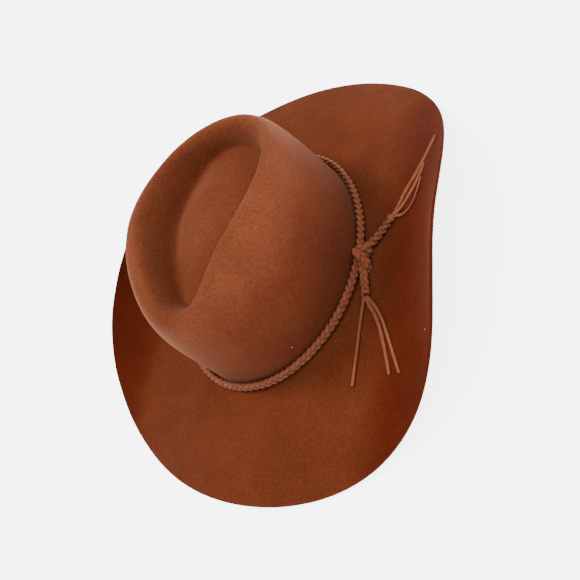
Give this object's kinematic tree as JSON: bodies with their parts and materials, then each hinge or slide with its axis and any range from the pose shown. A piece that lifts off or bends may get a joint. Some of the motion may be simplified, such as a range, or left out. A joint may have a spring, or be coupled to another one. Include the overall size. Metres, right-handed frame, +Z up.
{
  "type": "cowboy hat",
  "caption": "Wool-felt western hat with a teardrop crown, side-curled brim, leather sweatband and a tied braided suede hatband with fringed tails.",
  "frame": {"origin": "on the floor under the middle of the hat, standing on its brim", "axes": "+Z up, -Y the front of the hat, +X the wearer's left (the side with the knot)"},
  "size_m": [0.3348, 0.3926, 0.1208],
  "materials": {
    "felt": "napped wool felt, rust brown",
    "suede_lace": "suede, matte",
    "sweatband_leather": "smooth satin",
    "reed_tape": "woven tape",
    "thread": "waxed thread",
    "ribbon": "satin ribbon"
  },
  "bodies": {
    "hat": {"felt_body": "felt", "sweatband": "sweatband_leather", "sweatband_reed": "reed_tape", "sweatband_stitches": "thread", "sweatband_bow": "ribbon"},
    "hatband": {"hatband_braid": "suede_lace", "hatband_knot": "suede_lace"},
    "front_tail": {"front_tail_braid": "suede_lace", "front_tail_wrap": "suede_lace"},
    "back_tail": {"back_tail_braid": "suede_lace", "back_tail_wrap": "suede_lace"},
    "front_fringe": {"front_lace_1": "suede_lace", "front_lace_2": "suede_lace", "front_lace_3": "suede_lace"},
    "back_fringe": {"back_lace_1": "suede_lace", "back_lace_2": "suede_lace", "back_lace_3": "suede_lace"}
  },
  "joints": [
    {"name": "band_lift", "type": "slide", "parent": "hat", "child": "hatband", "axis": [0, 0, 1], "range_m": [0, 0.116]},
    {"name": "front_tail_lift", "type": "hinge", "parent": "hatband", "child": "front_tail", "pos_m": [0.0985, -0.004, 0.0187], "axis": [-0.9917, -0.129, 0], "range_deg": [0, 50]},
    {"name": "back_tail_lift", "type": "hinge", "parent": "hatband", "child": "back_tail", "pos_m": [0.0987, 0.0097, 0.0193], "axis": [0.8202, -0.5721, 0], "range_deg": [0, 50]},
    {"name": "front_fringe_lift", "type": "hinge", "parent": "front_tail", "child": "front_fringe", "pos_m": [0.1026, -0.0358, 0.0145], "axis": [-0.9539, -0.3, 0], "range_deg": [0, 30]},
    {"name": "back_fringe_lift", "type": "hinge", "parent": "back_tail", "child": "back_fringe", "pos_m": [0.1215, 0.0368, 0.0239], "axis": [0.89, -0.456, 0], "range_deg": [0, 30]}
  ]
}
